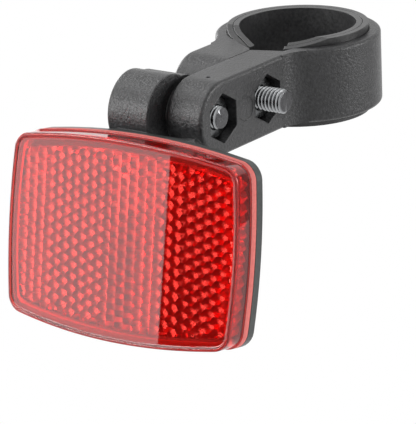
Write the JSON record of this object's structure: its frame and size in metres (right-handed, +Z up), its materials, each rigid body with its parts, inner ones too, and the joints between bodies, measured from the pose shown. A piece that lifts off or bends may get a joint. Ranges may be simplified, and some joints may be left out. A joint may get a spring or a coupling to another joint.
{
  "type": "bicycle rear reflector",
  "caption": "Red prism reflector on a hinged bracket with a seatpost band clamp, nested shims and cross-head screws.",
  "frame": {"origin": "axis of the clamp bore at the middle of the band's height", "axes": "+Z up along the seatpost axis, -Y the way the lens looks, screws along X with the nuts on the +X side"},
  "size_m": [0.0658, 0.1016, 0.0591],
  "materials": {
    "black_moulding": "satin moulded plastic with a fine spark-eroded grain",
    "shim_plastic": "softer satin plastic",
    "base_plastic": "satin moulded plastic",
    "zinc_steel": "zinc-plated, rolled thread",
    "red_lens": "clear red moulding, polished face, prisms behind it"
  },
  "bodies": {
    "clamp": {"clamp_band": "black_moulding", "outer_shim": "shim_plastic", "inner_shim": "shim_plastic", "clamp_screw": "zinc_steel", "clamp_nut": "zinc_steel", "pivot_screw": "zinc_steel", "pivot_nut": "zinc_steel"},
    "reflector": {"tilt_bracket": "black_moulding", "reflector_base": "base_plastic", "prism_lens": "red_lens"}
  },
  "joints": [
    {"name": "tilt_hinge", "type": "hinge", "parent": "clamp", "child": "reflector", "pos_m": [0, -0.0467, 0], "axis": [-1, 0, 0], "range_deg": [-70, 80]}
  ]
}
